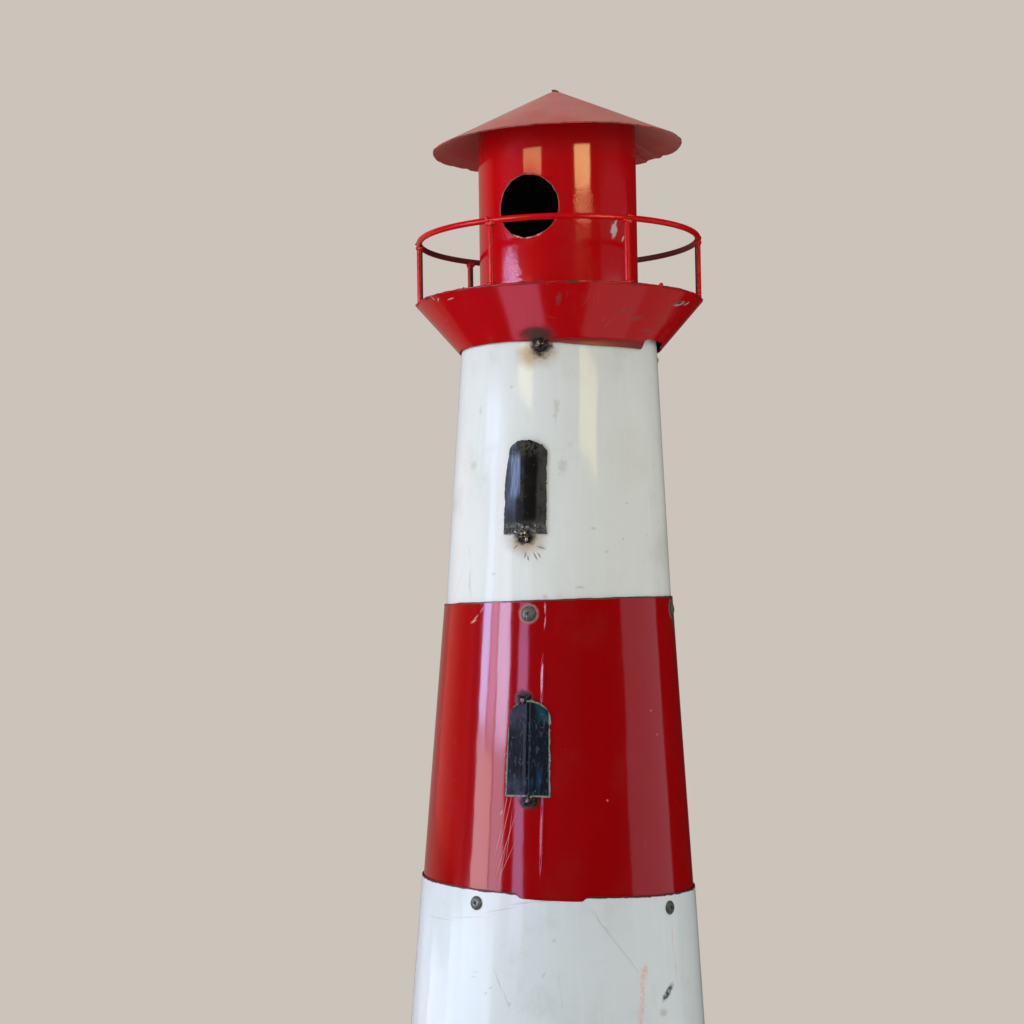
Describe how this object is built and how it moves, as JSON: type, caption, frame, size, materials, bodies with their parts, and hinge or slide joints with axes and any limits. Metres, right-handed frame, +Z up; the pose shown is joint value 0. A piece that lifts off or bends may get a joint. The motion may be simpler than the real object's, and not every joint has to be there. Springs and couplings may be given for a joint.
{
  "type": "ornamental model lighthouse",
  "caption": "Model lighthouse of rolled painted sheet steel: tapering lapped bands in white and red, railed gallery, round lantern with a porthole, and a shallow cone roof.",
  "frame": {"origin": "centre of the circle that the lower red band stands on", "axes": "+Z up the tower, -Y the front, where the porthole is"},
  "size_m": [0.3021, 0.3021, 1.1604],
  "materials": {
    "red_paint": "gloss, brushed on by hand, chipped at the cut edges",
    "roof_paint": "gloss red dulled by dust",
    "white_paint": "gloss white with scratches, soot and drips",
    "blued_steel": "black mill scale with a blue sheen",
    "rivet_steel": "dull grey",
    "weld_steel": "sooted weld metal"
  },
  "bodies": {
    "root": {"roof_cone": "roof_paint", "lantern_drum": "red_paint", "gallery_deck": "red_paint", "gallery_skirt": "red_paint", "rail_ring": "red_paint", "upper_white_band": "white_paint", "upper_red_band": "red_paint", "lower_white_band": "white_paint", "lower_red_band": "red_paint", "upper_window_plate": "blued_steel", "lower_window_plate": "blued_steel", "rail_post_1": "red_paint", "rail_post_2": "red_paint", "rail_post_3": "red_paint", "rail_post_4": "red_paint", "rail_post_5": "red_paint", "rail_post_6": "red_paint", "upper_rivet_1": "rivet_steel", "upper_rivet_2": "rivet_steel", "upper_rivet_3": "rivet_steel", "upper_rivet_4": "rivet_steel", "middle_rivet_1": "rivet_steel", "middle_rivet_2": "rivet_steel", "middle_rivet_3": "rivet_steel", "middle_rivet_4": "rivet_steel", "lower_rivet_1": "rivet_steel", "lower_rivet_2": "rivet_steel", "lower_rivet_3": "rivet_steel", "lower_rivet_4": "rivet_steel", "skirt_tack_1": "weld_steel", "skirt_tack_2": "weld_steel", "skirt_tack_3": "weld_steel", "upper_window_tack": "weld_steel", "lower_window_tack_foot": "weld_steel", "lower_window_tack_top": "weld_steel"}
  },
  "joints": []
}
